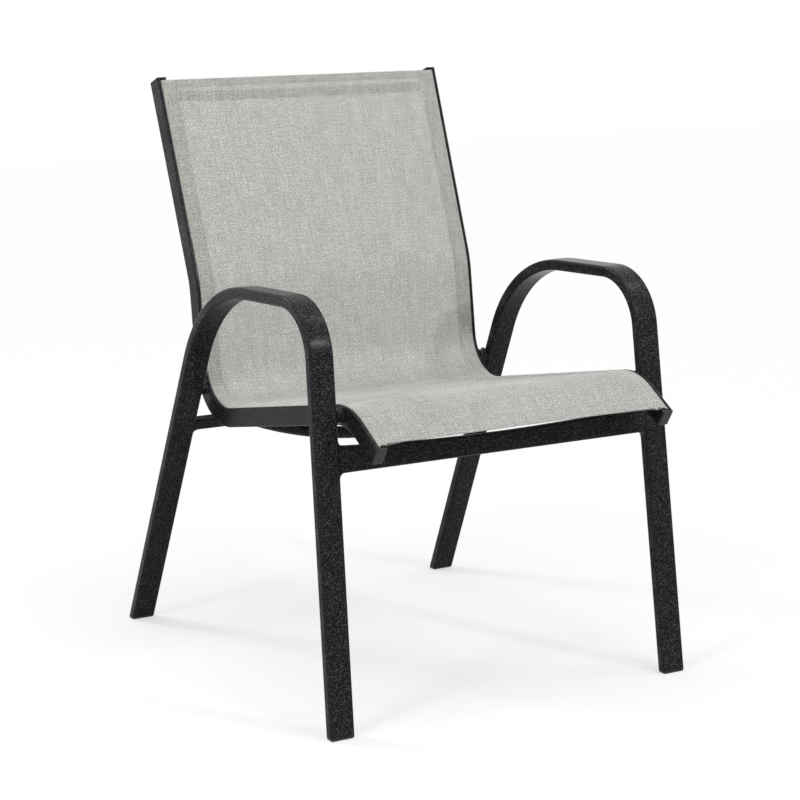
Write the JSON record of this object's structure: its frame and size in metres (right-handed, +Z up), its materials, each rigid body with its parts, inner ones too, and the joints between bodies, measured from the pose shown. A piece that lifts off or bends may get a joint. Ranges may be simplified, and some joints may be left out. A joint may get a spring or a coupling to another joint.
{
  "type": "stacking patio armchair",
  "caption": "Stacking patio armchair with bent flat-tube side frames that form legs and arms, slotted S-shaped rails and a stretched mesh sling seat and back.",
  "frame": {"origin": "on the floor, under the centre of the bounding box", "axes": "+Z up; the sitter faces -Y; +X to the right as seen by someone who faces the chair's front"},
  "size_m": [0.6092, 0.7086, 0.8707],
  "materials": {
    "frame_coat": "charcoal powder coat with fine bright flecks, half gloss",
    "sling_mesh": "light grey coated mesh weave, matte",
    "plug_black": "moulded, matte",
    "plug_grey": "moulded, matte",
    "spline_plastic": "extruded, smooth"
  },
  "bodies": {
    "root": {"left_side_frame": "frame_coat", "left_sling_rail": "frame_coat", "left_sling_spline": "spline_plastic", "left_front_foot_plug": "plug_black", "left_front_standoff": "frame_coat", "left_rear_foot_plug": "plug_black", "left_rear_standoff": "frame_coat", "left_rail_front_cap": "plug_grey", "left_rail_top_cap": "plug_black", "right_side_frame": "frame_coat", "right_sling_rail": "frame_coat", "right_sling_spline": "spline_plastic", "right_front_foot_plug": "plug_black", "right_front_standoff": "frame_coat", "right_rear_foot_plug": "plug_black", "right_rear_standoff": "frame_coat", "right_rail_front_cap": "plug_grey", "right_rail_top_cap": "plug_black", "front_crossbar": "frame_coat", "rear_crossbar": "frame_coat", "seat_spreader": "frame_coat", "back_spreader": "frame_coat", "sling": "sling_mesh"}
  },
  "joints": []
}
